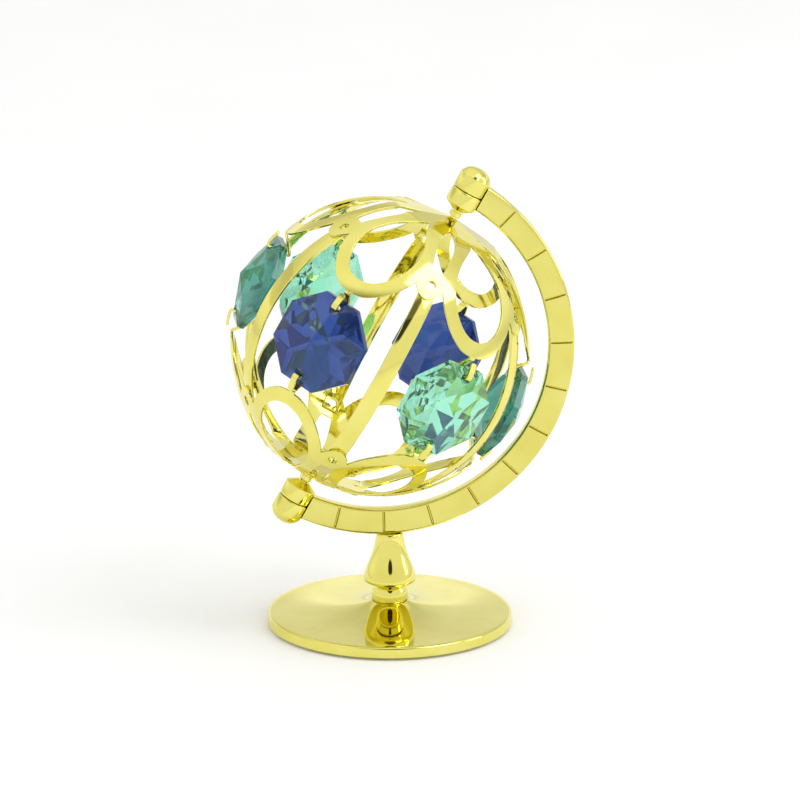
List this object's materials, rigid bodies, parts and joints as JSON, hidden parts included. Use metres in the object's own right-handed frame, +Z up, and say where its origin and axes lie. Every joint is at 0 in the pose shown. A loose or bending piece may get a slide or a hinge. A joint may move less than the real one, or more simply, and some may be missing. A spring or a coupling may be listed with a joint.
{
  "type": "desktop globe on stand",
  "caption": "Small ornamental desk globe: an openwork metal ball hung with faceted glass beads, turning on a tilted axis in a half-circle arm on a round foot.",
  "frame": {"origin": "centre of the base, on the surface it stands on", "axes": "+Z up; the half-circle arm lies in the XZ plane and bulges towards +X, the side that the top of the axis leans to; -Y is the front"},
  "size_m": [0.0524, 0.0438, 0.0709],
  "materials": {
    "gold_plate": "polished gold plate",
    "screw_steel": "machined",
    "felt": "felt",
    "glass_blue": "polished facets",
    "glass_green": "polished facets",
    "glass_teal": "polished facets"
  },
  "bodies": {
    "stand": {"felt_pad": "felt", "base_plate": "gold_plate", "base_screw": "screw_steel", "stem_knob": "gold_plate", "stem_cone": "gold_plate", "meridian_arm": "gold_plate", "upper_hub_body": "gold_plate", "upper_hub_cap": "gold_plate", "upper_pivot_pin": "gold_plate", "lower_hub_body": "gold_plate", "lower_hub_cap": "gold_plate", "lower_pivot_pin": "gold_plate"},
    "ball": {"upper_flower": "gold_plate", "lower_flower": "gold_plate", "rib_1": "gold_plate", "rib_2": "gold_plate", "rib_3": "gold_plate", "rib_4": "gold_plate", "rib_5": "gold_plate", "rib_6": "gold_plate"},
    "bead_1": {"bead_1_teal": "glass_teal"},
    "bead_2": {"bead_2_blue": "glass_blue"},
    "bead_3": {"bead_3_green": "glass_green"},
    "bead_4": {"bead_4_teal": "glass_teal"},
    "bead_5": {"bead_5_blue": "glass_blue"},
    "bead_6": {"bead_6_green": "glass_green"}
  },
  "joints": [
    {"name": "ball_spin", "type": "hinge", "parent": "stand", "child": "ball", "pos_m": [-0.0014, 0, 0.0436], "axis": [0.4848, 0, 0.8746], "continuous": true},
    {"name": "bead_1_rock", "type": "hinge", "parent": "ball", "child": "bead_1", "pos_m": [0.01656, -0.0009, 0.03365], "axis": [0.4848, 0, 0.8746], "range_deg": [-16, 0]},
    {"name": "bead_2_rock", "type": "hinge", "parent": "ball", "child": "bead_2", "pos_m": [0.00826, 0.01733, 0.03825], "axis": [0.4848, 0, 0.8746], "range_deg": [-8, 8]},
    {"name": "bead_3_rock", "type": "hinge", "parent": "ball", "child": "bead_3", "pos_m": [-0.0097, 0.01823, 0.0482], "axis": [0.4848, 0, 0.8746], "range_deg": [-8, 8]},
    {"name": "bead_4_rock", "type": "hinge", "parent": "ball", "child": "bead_4", "pos_m": [-0.01936, 0.0009, 0.05355], "axis": [0.4848, 0, 0.8746], "range_deg": [-16, 0]},
    {"name": "bead_5_rock", "type": "hinge", "parent": "ball", "child": "bead_5", "pos_m": [-0.01106, -0.01733, 0.04895], "axis": [0.4848, 0, 0.8746], "range_deg": [-8, 8]},
    {"name": "bead_6_rock", "type": "hinge", "parent": "ball", "child": "bead_6", "pos_m": [0.0069, -0.01823, 0.039], "axis": [0.4848, 0, 0.8746], "range_deg": [-8, 8]}
  ]
}
